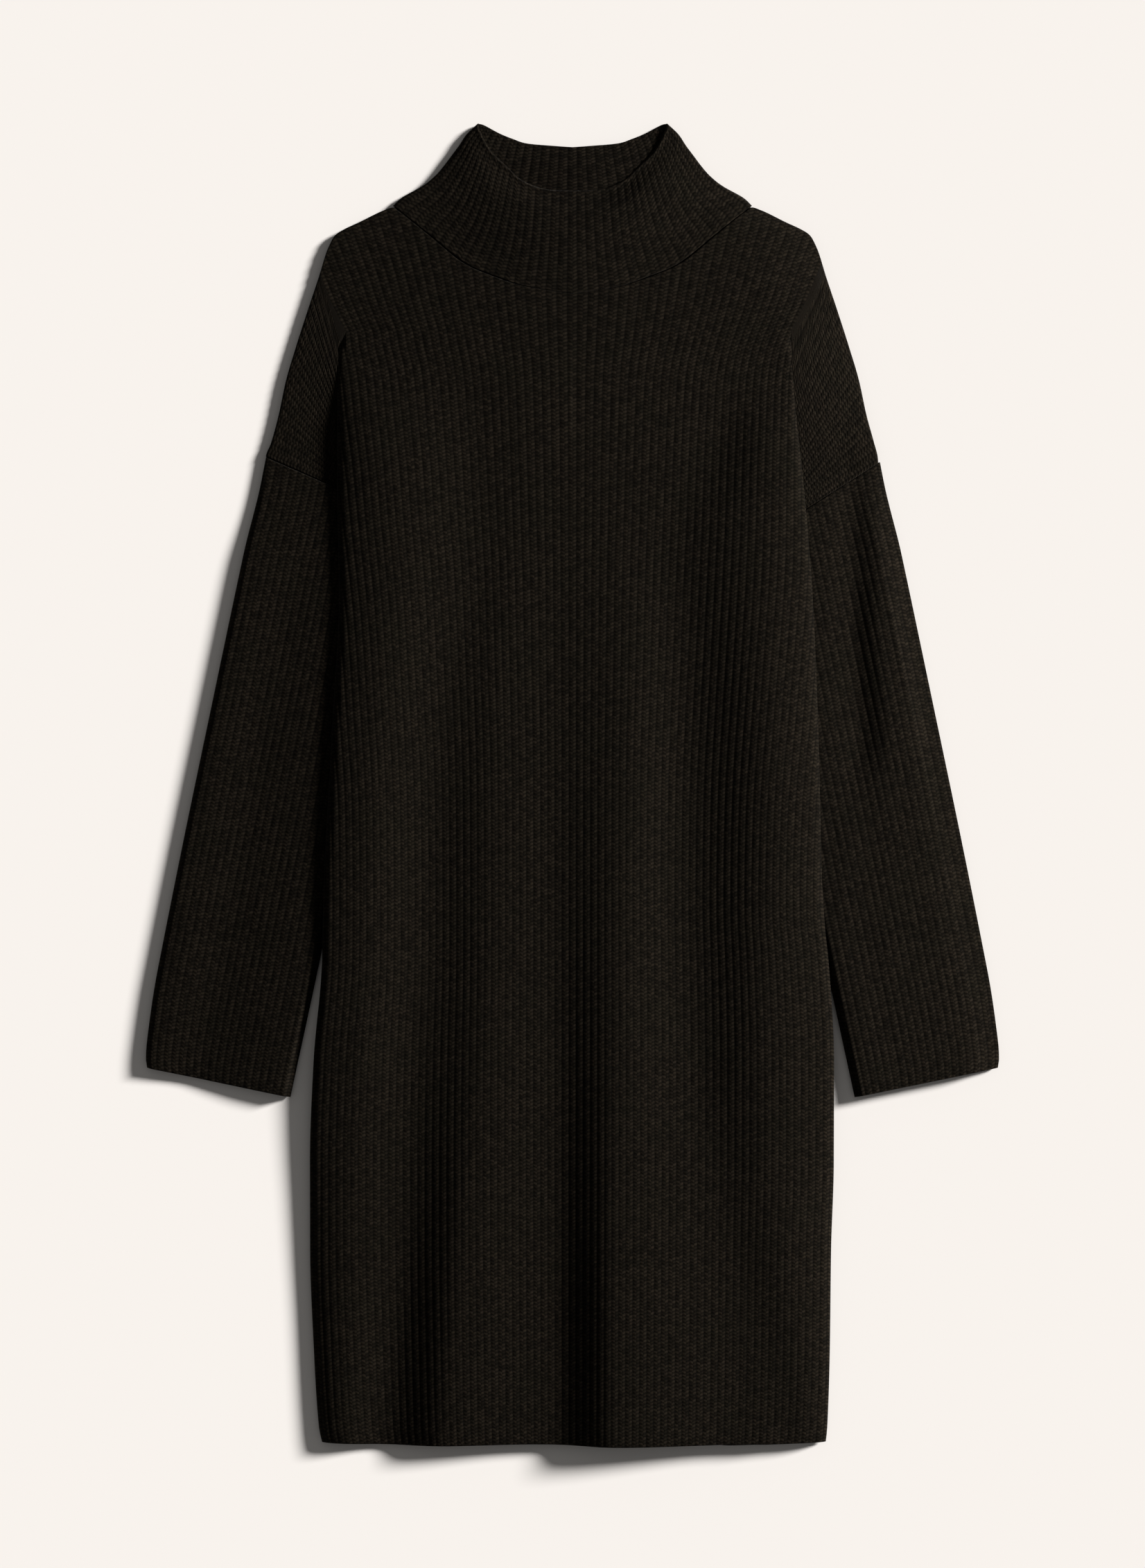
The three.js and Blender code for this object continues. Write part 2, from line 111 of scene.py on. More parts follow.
# Width of a rib at the middle line
RIB_PITCH = table(
    ("y", "wide"),
    [
        (-524, 5.5),
        (-310, 5.6),
        (0, 5.65),
        (100, 5.9),
        (171, 6.1),
        (204, 6.3),
        (281, 6.7),
        (325, 7.05),
        (347, 7.6),
        (380, 8.25),
        (402, 8.6),
        (460, 9.6),
    ],
)
# Rib count at the body's side edge; the ribs past it are folded away
EDGE_RIB = table(
    ("y", "rib"),
    [
        (-524, 36.002),
        (-112, 36),
        (-30, 35.3),
        (54, 33.5),
        (169, 30.9),
        (246, 29.7),
        (290, 28.7),
        (323, 28),
        (347, 27),
        (358, 26),
    ],
)
# Neckline, shoulder and top of the arm on the front, the same on both sides
FRONT_TOP = table(
    ("x", "y"),
    [
        (0, 387.4),
        (23, 391),
        (41, 394.3),
        (58, 400),
        (84, 411),
        (113, 434),
        (139, 454.9),
        (142, 456.9),
        (149, 454.8),
        (169, 445.2),
        (181, 439.6),
        (188, 435),
        (194, 424),
        (201, 402),
        (210, 375),
    ],
)
# Height of both hems
HEM = table(
    ("x", "front", "back"),
    [
        (-201, -521.5, -521),
        (-120, -523.4, -522.8),
        (-40, -522.6, -522),
        (40, -523.6, -523),
        (100, -522.8, -522.6),
        (124, -522.4, -524.6),
        (146, -522.6, -524),
        (201, -521.2, -520.6),
    ],
)
# How far out the upper arms reach on front and back
ARM_EDGE = table(
    ("y", "left", "right"),
    [
        (205, 182, 181),
        (217, 182, 182.5),
        (226, 182, 197),
        (234, 186, 209.6),
        (254, 231, 242.2),
        (259, 243, 241.8),
        (270, 239, 239),
        (292, 233, 233),
        (320, 227, 227),
        (347, 219, 219),
        (375, 210, 210),
        (402, 201, 201),
        (424, 194, 194),
        (435, 188, 188),
    ],
)
# How far from the middle line a sleeve below lifts the back in full
ARM_REACH = table(
    ("y", "x"),
    [(-420, 249), (-134, 192), (0, 164), (190, 119), (250, 140), (300, 156), (358, 160)],
)
# Height of the front's side edges over the back
FOLD_EDGES = table(
    ("y", "left", "right"),
    [
        (-524, 1, 1),
        (-423, 1, 1.5),
        (-325, 3.4, 3.4),
        (-228, 6.8, 7),
        (-134, 9.2, 7.8),
        (0, 8.8, 7.8),
        (120, 8, 7.8),
        (200, 6.6, 7.8),
        (300, 4.4, 7),
    ],
)
# Crests and troughs of the front's soft folds, in turn, from the left edge to the right
FOLD_LINES = [
    table(("y", "x", "z"), rows)
    for rows in (
        [(-524, -180, 6), (-423, -180, 6.4), (-325, -178, 7), (-228, -174, 9), (-134, -170, 10.8)]
        + [(-10, -164, 11.4), (100, -154, 11.4), (200, -146, 10.8), (300, -160, 8.4)],
        [(-524, -148, 0.6), (-423, -140, 0.6), (-325, -131, 0.6), (-228, -124, 1)]
        + [(-134, -112, 1.4), (-10, -104, 1.8), (100, -88, 2.4), (200, -66, 2.4), (300, -70, 2)],
        [(-524, -100, 11), (-423, -92, 10.4), (-325, -82, 9.2), (-228, -70, 7.2)]
        + [(-134, -64, 5.8), (-10, -62, 5), (100, -58, 3.6), (200, -44, 2.8), (300, -40, 2.4)],
        [(-524, -14, 4.4), (-423, -14, 4), (-228, -15, 3.2), (-10, -18, 3), (100, -16, 2.4)]
        + [(300, -10, 2.4)],
        [(-524, 34, 17), (-423, 34, 16.6), (-325, 34, 14.4), (-228, 36, 12.4)]
        + [(-134, 38, 10.6), (-10, 42, 8.6), (100, 44, 5.4), (200, 36, 3.4), (300, 30, 2.8)],
        [(-524, 150, 7), (-423, 138, 8), (-325, 114, 8), (-228, 96, 5), (-134, 90, 4)]
        + [(-10, 88, 2.8), (100, 84, 2.4), (200, 70, 2.8), (250, 100, 2.8), (300, 116, 2.8)],
        [(-524, 178, 5), (-423, 168, 9.2), (-325, 158, 12), (-228, 155, 13.2), (-134, 157, 14)]
        + [(-10, 160, 14), (100, 158, 13.4), (200, 157, 12.2), (300, 158, 8.8)],
    )
]
# Half the width of chest, shoulders and collar, where the chest's rise ends
UPPER_EDGE = table(
    ("y", "x"),
    [
        (240, 235),
        (259, 243),
        (347, 219),
        (402, 201),
        (435, 188),
        (446, 168),
        (459, 143),
        (474, 119),
        (490, 102),
        (506, 90),
        (523.6, 75),
    ],
)
# Outer and inner edge of a sleeve, w across it and s down it
SLEEVE_OUTER = table(
    ("s", "w"),
    [
        (0, 0),
        (22, 0.2),
        (79, -2),
        (191, -2.6),
        (304, -3),
        (416, -2.4),
        (472, 0.6),
        (486, 2.6),
        (493, 5),
    ],
)
SLEEVE_INNER = table(("s", "w"), [(0, 121.5), (376, 122), (493, 121)])
# Where the body's edge crosses a sleeve
BODY_OVER_SLEEVE = table(("s", "w"), [(0, 58), (90, 76), (172, 90), (300, 105), (376, 122)])
# What differs between the sleeves: armhole seam, edge rounding, rises and long fold
SLEEVES = {
    "left": {
        "sign": -1,
        "lift_from": 226,
        "seam": table(
            ("w", "s"), [(0, 0.7), (30, 7.1), (58, 13.1), (61, 13.7), (66, 40), (122, 44)]
        ),
        "fan_end": ((243, 259.2), (186.5, 234.4)),
        "round": 4,
        "inner": 0,
        "outer": 2.6,
        "arm_fold": 0,
        "fold": table(
            ("s", "foot", "top", "fall", "end", "high"),
            [
                (0, 0, 56, 200, 230, 1.6),
                (120, 16, 84, 200, 230, 3.6),
                (215, 26, 98, 200, 230, 3.8),
                (300, 32, 112, 200, 230, 4),
                (376, 34, 116, 200, 230, 4.4),
                (493, 30, 110, 200, 230, 4),
            ],
        ),
    },
    "right": {
        "sign": 1,
        "lift_from": 205,
        "seam": table(
            ("w", "s"), [(0, 4.4), (30, 15.9), (60, 27.5), (65, 29.4), (71, 70), (122, 76)]
        ),
        "fan_end": ((242, 254), (183.5, 217)),
        "round": 18,
        "inner": 2.2,
        "outer": 0,
        "arm_fold": 2.2,
        "fold": table(
            ("s", "foot", "top", "fall", "end", "high"),
            [
                (0, -30, -4, 4, 28, 1),
                (71, -24, 4, 12, 40, 4.4),
                (142, -18, 18, 26, 52, 5.6),
                (215, -12, 26, 34, 64, 5.4),
                (287, -8, 32, 48, 106, 3.8),
                (387, -8, 34, 70, 130, 4),
                (493, -8, 34, 80, 140, 4),
            ],
        ),
    },
}
# Neckline of the back
BACK_NECK = table(
    ("x", "y"), [(0, 432.6), (36, 434.4), (72, 439.6), (108, 448), (143, 459)]
)
# Curves of the collar's right half, from the middle out, and of its side, upward
COLLAR = {
    "base": [
        (0, 387.6),
        (23, 391.2),
        (41, 394.6),
        (58, 400.6),
        (84, 411.7),
        (113, 434.6),
        (138.6, 455.3),
        (142.3, 458.3),
    ],
    "top": [(0, 469.5), (22, 471), (40, 478), (52, 489), (65, 502), (73, 517), (75, 523.6)],
    "back_base": [(0, 432.6), (36, 434.4), (72, 439.6), (108, 448), (142.3, 458.3)],
    "back_top": [
        (0, 505),
        (14, 506),
        (36, 508),
        (47, 511.5),
        (58, 516),
        (70, 522.4),
        (75, 523.6),
    ],
    "side": [
        (142.3, 458.3),
        (135, 465),
        (119, 474),
        (109, 482),
        (102, 490),
        (96, 498),
        (90, 506),
        (84, 515),
        (75, 523.6),
    ],
}


def mix(a, b, t):
    """a + (b - a) t."""
    return a + (b - a) * t


def smooth(start, end, at):
    """3 t^2 - 2 t^3, with t = (at - start) / (end - start) held between 0 and 1."""
    t = np.clip((at - start) / (end - start), 0, 1)
    return t * t * (3 - 2 * t)


def read(rows, key, by, at):
    """Cubic Hermite curve through a table's rows, level past both ends.
    Each inner tangent is the harmonic mean of the slopes on both sides, or 0 at a turn."""
    x, y = rows[by], rows[key]
    slope = np.diff(y) / np.diff(x)
    before, after = slope[:-1], slope[1:]
    both = before * after > 0
    inner = np.where(both, 2 * before * after / np.where(both, before + after, 1), 0)
    bend = np.concatenate([slope[:1], inner, slope[-1:]])
    at = np.clip(at, x[0], x[-1])
    k = np.clip(np.searchsorted(x, at, side="left") - 1, 0, len(x) - 2)
    span = x[k + 1] - x[k]
    t = (at - x[k]) / span
    a, b, m, n = y[k], y[k + 1], bend[k] * span, bend[k + 1] * span
    return a + m * t + (3 * (b - a) - 2 * m - n) * t**2 + (2 * (a - b) + m + n) * t**3


def spline(points):
    """Catmull-Rom curve through points, as a function of the fraction of its length."""
    p = np.array(points, float)
    p = np.vstack([2 * p[0] - p[1], p, 2 * p[-1] - p[-2]])
    t = np.linspace(0, 1, 60, endpoint=False)[:, None]
    parts = []
    for k in range(1, len(p) - 2):
        a, b, c, d = p[k - 1 : k + 3]
        bend = (2 * a - 5 * b + 4 * c - d) * t**2 + (3 * b - 3 * c + d - a) * t**3
        parts.append(b + 0.5 * (c - a) * t + 0.5 * bend)
    path = np.vstack([*parts, p[-2:-1]])
    run = np.concatenate([[0], np.cumsum(np.linalg.norm(np.diff(path, axis=0), axis=1))])

    def at(fraction):
        s = np.asarray(fraction) * run[-1]
        return np.stack([np.interp(s, run, path[:, 0]), np.interp(s, run, path[:, 1])], -1)

    return at


def rounding(distance, radius):
    """Quarter circle: sqrt(1 - (1 - d / r)^2), from almost 0 at the edge to 1 at d = r."""
    d = np.clip(distance / radius, 0.02, 1)
    return np.sqrt(1 - (1 - d) ** 2)


def rib(u):
    """Rise of the cloth at rib count u: round on top, with a furrow between ribs.
    With f = 2 |u - nearest whole number|: rise - (rise + groove) f^2.2."""
    f = 2 * np.abs(u - np.round(u))
    return RIB_RISE - (RIB_RISE + RIB_GROOVE) * f**2.2


class Shell:
    """Cloth with an outer and an inner point at each place, closed along its free edges."""

    def __init__(self):
        self.outer, self.inner, self.uv, self.faces = [], [], [], []
        self.count = 0

    def add(self, outer, inner, uv):
        """Points given as arrays of rows by columns by xyz; returns their numbers."""
        rows, cols = outer.shape[:2]
        self.outer.append(outer.reshape(-1, 3))
        self.inner.append(inner.reshape(-1, 3))
        self.uv.append(uv.reshape(-1, 2))
        ids = self.count + np.arange(rows * cols).reshape(rows, cols)
        self.count += rows * cols
        return ids

    def weave(self, ids, mirrored=False):
        """Quads between neighbouring points; rows run up, columns to the right from outside."""
        corners = [ids[:-1, :-1], ids[:-1, 1:], ids[1:, 1:], ids[1:, :-1]]
        quads = np.stack(corners, -1).reshape(-1, 4)
        self.faces.append(quads[:, ::-1] if mirrored else quads)

    def build(self, name, material):
        """Outer faces, inner faces turned over, and a strip along each edge that one face has."""
        quads = np.vstack(self.faces)
        n = self.count
        edges = np.vstack([quads[:, [i, (i + 1) % 4]] for i in range(4)])
        keys = edges.min(1) * n + edges.max(1)
        _, first, times = np.unique(keys, return_index=True, return_counts=True)
        rim = edges[first[times == 1]]
        strip = np.stack([rim[:, 0], rim[:, 0] + n, rim[:, 1] + n, rim[:, 1]], 1)
        faces = np.vstack([quads, quads[:, ::-1] + n, strip])
        places = np.vstack(self.outer + self.inner) * MM
        places[:, 1] += SHIFT_Y * MM
        uv = np.vstack(self.uv + self.uv)
        mesh = bpy.data.meshes.new(name)
        mesh.vertices.add(len(places))
        mesh.vertices.foreach_set("co", places.ravel())
        mesh.loops.add(faces.size)
        mesh.loops.foreach_set("vertex_index", faces.ravel().astype(np.int32))
        mesh.polygons.add(len(faces))
        mesh.polygons.foreach_set("loop_start", np.arange(0, faces.size, 4, dtype=np.int32))
        mesh.uv_layers.new(name="rib_and_row")
        mesh.update(calc_edges=True)
        mesh.uv_layers["rib_and_row"].data.foreach_set("uv", uv[faces.ravel()].ravel())
        mesh.polygons.foreach_set("use_smooth", np.ones(len(faces), bool))
        mesh.materials.append(material)
        mesh.validate()
        obj = bpy.data.objects.new(name, mesh)
        bpy.context.collection.objects.link(obj)
        return obj


def across(u, y):
    """Where rib u lies: x = pitch u - squeeze u |u|, so that the edge rib meets the edge."""
    held = np.minimum(y, FOLD_TOP)
    last = read(EDGE_RIB, "rib", "y", held)
    edge = np.where(
        u < 0, read(SIDE_EDGE, "left", "y", held), read(SIDE_EDGE, "right", "y", held)
    )
    squeeze = (read(RIB_PITCH, "wide", "y", held) * last - edge) / last**2
    size = np.abs(u)
    return np.sign(u) * (read(RIB_PITCH, "wide", "y", y) * size - squeeze * size**2)


def halve(low, high, above):
    """Bisection of a range on every column at once."""
    for _ in range(40):
        middle = (low + high) / 2
        up = above(middle)
        low, high = np.where(up, low, middle), np.where(up, middle, high)
    return (low + high) / 2


def top_of(u):
    """Height at which rib u meets the neckline, the shoulder or the arm's edge."""
    full = np.full(u.shape, 1.0)
    return halve(
        360 * full,
        470 * full,
        lambda y: y > read(FRONT_TOP, "y", "x", np.abs(across(u, y))),
    )


def fold_top_of(u):
    """Height at which rib u comes out of the fold at the side."""
    full = np.full(u.shape, 1.0)
    found = halve(
        -112 * full,
        FOLD_TOP * full,
        lambda y: read(EDGE_RIB, "rib", "y", y) <= np.abs(u),
    )
    return np.where(np.abs(u) > FOLD_RIB, found, FOLD_TOP)


def arm_lift(x, y):
    """How far the sleeve below raises the back."""
    reach = read(ARM_REACH, "x", "y", y)
    return ARM_LIFT * smooth(reach - LIFT_RAMP, reach, np.abs(x))


def fold_open(x, y):
    """How far the fold at either side has come out of the arm, 0 to 1 downward."""
    return np.where(x < 0, smooth(354, 272, y), smooth(336, 256, y))


def relief(x, y):
    """Height of the front's soft folds, through its edges and the crest and trough lines.
    It runs 3 t^2 - 2 t^3 from line to line, and t^2 from the outer crests down to the edges."""
    lines = [(read(line, "x", "y", y), read(line, "z", "y", y)) for line in FOLD_LINES]
    (first_x, first_z), (last_x, last_z) = lines[0], lines[-1]
    left_x, right_x = -read(SIDE_EDGE, "left", "y", y), read(SIDE_EDGE, "right", "y", y)
    left_z, right_z = read(FOLD_EDGES, "left", "y", y), read(FOLD_EDGES, "right", "y", y)
    to_left = np.clip((first_x - x) / (first_x - left_x), 0, 1)
    to_right = np.clip((x - last_x) / (right_x - last_x), 0, 1)
    z = first_z + (left_z - first_z) * to_left**2 + (right_z - last_z) * to_right**2
    for (x0, z0), (x1, z1) in zip(lines, lines[1:]):
        z = z + (z1 - z0) * smooth(x0, x1, x)
    return z * fold_open(x, y)


def chest_rise(x, y):
    """Rise of the chest and shoulders: long from the left, shorter down to the right."""
    half = read(UPPER_EDGE, "x", "y", y)
    along = smooth(120, 400, y) * smooth(510, 430, y)
    right = 1 - (1 - np.clip((half - x) / 62, 0, 1)) ** 2
    return CHEST_RISE * along * smooth(0, 240, half + x) * right


def front_under(x, y):
    """Underside of the front: over the back, the arms and the soft folds."""
    return FRONT_UNDER + relief(x, y) + chest_rise(x, y)


def points(x, y, z):
    return np.stack(np.broadcast_arrays(x, y, z), -1)


def wall(shell, x, y, under, thick, q, u, row):
    """Adds cloth of a thickness over an underside, rounded at its edges by q."""
    middle = under + WALL / 2
    outer = points(x, y, middle + (under + thick - middle) * q)
    inner = points(x, y, middle - WALL / 2 * q)
    return shell.add(outer, inner, np.stack(np.broadcast_arrays(u, row), -1))


def near_edges(count, length, both=True):
    """Fractions of a length, even in the middle and crowded within 2 mm of the ends."""
    close = np.array([0, 0.15, 0.45, 0.9, 1.5]) / length
    even = np.linspace(0, 1, count)
    even = even[even > close[-1] * 1.2]
    if not both:
        return np.concatenate([close, even])
    even = even[even < 1 - close[-1] * 1.2]
    return np.concatenate([close, even, 1 - close[::-1]])


def make_front(material):
    """Front: ribs u across and heights y along each rib, plus a fan of ribs on each arm.
    Where a side fold is closed, the body's edge keeps its full thickness."""
    shell = Shell()
    u = np.arange(-SIDE_RIBS * PER_RIB, SIDE_RIBS * PER_RIB + 1) / PER_RIB
    t = near_edges(74, 880, both=False)[:, None]
    hem = read(HEM, "front", "x", across(u, -520.0 + 0 * u))
    start = fold_top_of(u)
    y = mix(hem, start, t)
    x = across(u + 0 * y, y)
    at_fold = np.abs(u) > FOLD_RIB

    def body(x, y, u, to_top):
        side = np.where(
            u < 0, read(SIDE_EDGE, "left", "y", y), read(SIDE_EDGE, "right", "y", y)
        )
        to_side = np.where(y < FOLD_TOP - 1, side - np.abs(x), 50)
        to_hem = y - read(HEM, "front", "x", x)
        is_open = fold_open(x, y)
        curl_wide = 7
        drop = EDGE_CURL * np.clip(1 - to_side / curl_wide, 0, 1) ** 2 * is_open
        soft_top = mix(0.25, 0.9, smooth(30, 75, np.abs(x)))
        q_side = mix(1, rounding(to_side, 2.4), smooth(0.02, 0.4, is_open))
        q = q_side * rounding(to_hem, 1.5) * rounding(to_top, soft_top)
        return wall(shell, x, y, front_under(x, y) - drop, WALL + rib(u), q, u, y / STITCH)

    lower = body(x, y, u + 0 * y, np.full(y.shape, 50.0))
    shell.weave(lower)
    centre = ~at_fold
    uc = u[centre]
    high = top_of(uc)
    steps = 1 - near_edges(20, 60, both=False)[::-1][1:, None]
    steps = steps[steps[:, 0] > 0]
    yc = mix(FOLD_TOP, high, steps)
    xc = across(uc + 0 * yc, yc)
    upper = body(xc, yc, uc + 0 * yc, (high - yc) * 0.85)
    stack = np.vstack([lower[-1:, centre], upper])
    shell.weave(stack)
    rows = np.vstack([[[0.0]], steps])
    for side, column in (("left", 0), ("right", -1)):
        add_fan(shell, side, SLEEVES[side], stack[:, column], rows, high[0])
    return shell.build("front_knit", material)


def add_fan(shell, side, facts, joined, rows, edge_y):
    """Upper arm: its ribs run straight from the outer edge in to the fold, under the body
    from a fifth of the way down, with a soft ridge along the outer edge."""
    sign = facts["sign"]
    (_, seam_y), (end_x, end_y) = facts["fan_end"]
    part = np.arange(1, FAN_RIBS * PER_RIB + 1) / (FAN_RIBS * PER_RIB)
    start_y = mix(edge_y, seam_y, part)
    start_x = read(ARM_EDGE, side, "y", start_y)
    stop_y = mix(FOLD_TOP, end_y, part**FAN_POWER)
    stop_x = read(SIDE_EDGE, side, "y", stop_y) + 0.1
    stop_x[-1] = end_x
    x, y = mix(stop_x, start_x, rows), mix(stop_y, start_y, rows)
    length = np.hypot(start_x - stop_x, start_y - stop_y)
    u = FOLD_RIB + FAN_RIBS * part + 0 * x
    from_edge = (1 - rows) * length
    ridge = facts["arm_fold"] * smooth(30, 6, from_edge) * smooth(316, 230, y)
    under = FRONT_UNDER + chest_rise(sign * x, y) + ridge
    fan_long = 75
    to_seam = (1 - part) * fan_long
    q = rounding(from_edge, 3.2) * rounding(to_seam, 0.7)
    row = rows * length / STITCH + 3.7
    ids = wall(shell, sign * x, y, under, WALL + rib(u), q, u, row)
    ids = np.hstack([joined[:, None], ids])
    shell.weave(ids, mirrored=side == "left")
    deep = np.linspace(1, 0.15, 6)[:, None]
    tucked = smooth(0.2, 0.45, part)
    inward = TUCK * tucked + 0.05
    x = stop_x - inward * deep
    y = stop_y - inward * deep * mix(0.5, 0.35, part)
    u = u[0] + 0 * x
    thick = WALL + rib(u) * (1 - deep * tucked)
    under = FRONT_UNDER + chest_rise(sign * x, y)
    down = row[0] - inward * deep / STITCH
    tuck = wall(shell, sign * x, y, under, thick, rounding(to_seam, 0.7), u, down)
    shell.weave(np.vstack([tuck, ids[:1, 1:]]), mirrored=side == "left")


def make_back(material):
    """Back: flat where it rests, lifted over the sleeves, edges inside those of the front."""
    shell = Shell()
    corners = ARM_EDGE["y"][:6]
    y_rows = np.concatenate([np.arange(-505, 200, 12), corners, np.arange(270, 425, 14)])
    t = np.linspace(-1, 1, 161)
    x_of = np.sign(t) * np.abs(t) ** 0.85

    def half(y):
        low = np.stack([read(SIDE_EDGE, s, "y", y) - BACK_INSET for s in ("left", "right")])
        high = np.stack([read(ARM_EDGE, s, "y", y) for s in ("left", "right")])
        return np.where(y > corners[0], high, low)

    ends = half(y_rows)
    x = np.where(t < 0, ends[0][:, None], ends[1][:, None]) * x_of
    y = y_rows[:, None] + 0 * x
    hem_x = x_of * 194
    hem = read(HEM, "back", "x", hem_x)
    first = hem + np.array([0, 0.15, 0.45, 0.9, 1.5, 4])[:, None]
    top_x = x_of * 188
    size = np.abs(top_x)
    neck_end = BACK_NECK["x"][-1]
    top = np.where(
        size > neck_end,
        read(FRONT_TOP, "y", "x", size) - 0.2,
        read(BACK_NECK, "y", "x", size) - 1,
    )
    x = np.vstack([hem_x + 0 * first, x, top_x[None]])
    y = np.vstack([first, y, top[None]])
    lift_from = np.where(x < 0, SLEEVES["left"]["lift_from"], SLEEVES["right"]["lift_from"])
    z = arm_lift(x, y) * smooth(lift_from, lift_from - 26, y)
    q = rounding(y - read(HEM, "back", "x", x), 1.4)
    middle = z + BACK_WALL / 2
    outer = points(x, y, middle + BACK_WALL / 2 * q)
    inner = points(x, y, middle - BACK_WALL / 2 * q)
    pitch = 5.65
    ids = shell.add(outer, inner, np.stack([x / pitch, y / STITCH], -1))
    shell.weave(ids)
    return shell.build("back_knit", material)


def sleeve_puff(facts, w, s):
    """Long soft fold down the sleeve, with a rise toward the body and toward the outside."""
    foot, top, fall, end, high = (
        read(facts["fold"], key, "s", s) for key in ("foot", "top", "fall", "end", "high")
    )
    body_edge = read(BODY_OVER_SLEEVE, "w", "s", s)
    toward = smooth(body_edge - 40, body_edge - 10, w)
    away = smooth(52, 8, w) * smooth(0, 90, s)
    fold = high * smooth(foot, top, w) * smooth(end, fall, w)
    return fold + facts["inner"] * toward + facts["outer"] * away


def make_sleeve(side, material):
    """Sleeve: a flattened tube; w runs across it and s down it from the seam, and f is
    the fraction of its width, once over the top and once back below."""
    shell = Shell()
    facts = SLEEVES[side]
    wide = 121
    close = np.array([0, 0.1, 0.35, 0.8]) / wide
    even = np.arange(1, SLEEVE_RIBS * PER_RIB) / (SLEEVE_RIBS * PER_RIB)
    f = np.concatenate([close, even, 1 - close[::-1]])
    under_f = np.concatenate([1 - close[1:], np.linspace(0.985, 0.015, 120), close[:0:-1]])
    f = np.concatenate([f, under_f])
    is_top = np.arange(len(f)) < len(f) - len(under_f)
    t = near_edges(84, 480)[:, None]
    seam = read(facts["seam"], "s", "w", SLEEVE_WIDE * f) - SEAM_CLOSER
    s = mix(SLEEVE_LONG, seam, t)
    edge_out, edge_in = read(SLEEVE_OUTER, "w", "s", s), read(SLEEVE_INNER, "w", "s", s)
    w = mix(edge_out, edge_in, f)
    to_side = np.minimum(w - edge_out, edge_in - w)
    outside = is_top & (f < 0.5)
    full = mix(3.2, facts["round"], smooth(0, 60, s - seam))
    round_side = rounding(to_side + 0.02, np.where(outside, full, np.where(is_top, 6, 3.2)))
    ease = np.minimum(1, wide * f / facts["round"]) * np.minimum(1, 20 * (1 - f))
    puff = sleeve_puff(facts, w, s) * ease * is_top
    u = f * SLEEVE_RIBS + 0 * s
    top_under = BACK_WALL + LAYER_GAP
    under_rib = 0.35
    upper = top_under + WALL + rib(u) + puff
    lower = under_rib * (1 - (rib(u) + RIB_GROOVE) / (RIB_RISE + RIB_GROOVE))
    level = np.where(is_top, upper, lower)
    z_out = EDGE_HEIGHT + (level - EDGE_HEIGHT) * round_side
    z_in = np.where(is_top, top_under + puff, BACK_WALL)
    w_in = np.clip(w, edge_out + 2.6, edge_in - 2.6)
    layer = np.where(is_top, top_under + WALL / 2 + puff, BACK_WALL / 2)
    layer = mix(EDGE_HEIGHT, layer, smooth(0, 3, to_side))
    ends = rounding(s - seam, 0.7) * rounding(SLEEVE_LONG - s, 1.5)
    z_out = layer + (z_out - layer) * ends
    z_in = layer + (z_in - layer) * ends
    cos, sin = math.cos(SLEEVE_LEAN), math.sin(SLEEVE_LEAN)

    def place(w, z):
        x = SLEEVE_START[0] - w * cos + s * sin
        y = SLEEVE_START[1] - w * sin - s * cos
        return points(facts["sign"] * x, y, z)

    ids = shell.add(place(w, z_out), place(w_in, z_in), np.stack([u, -s / STITCH], -1))
    shell.weave(np.hstack([ids, ids[:, :1]]), mirrored=side == "right")
    return shell.build(f"sleeve_{side}_knit", material)


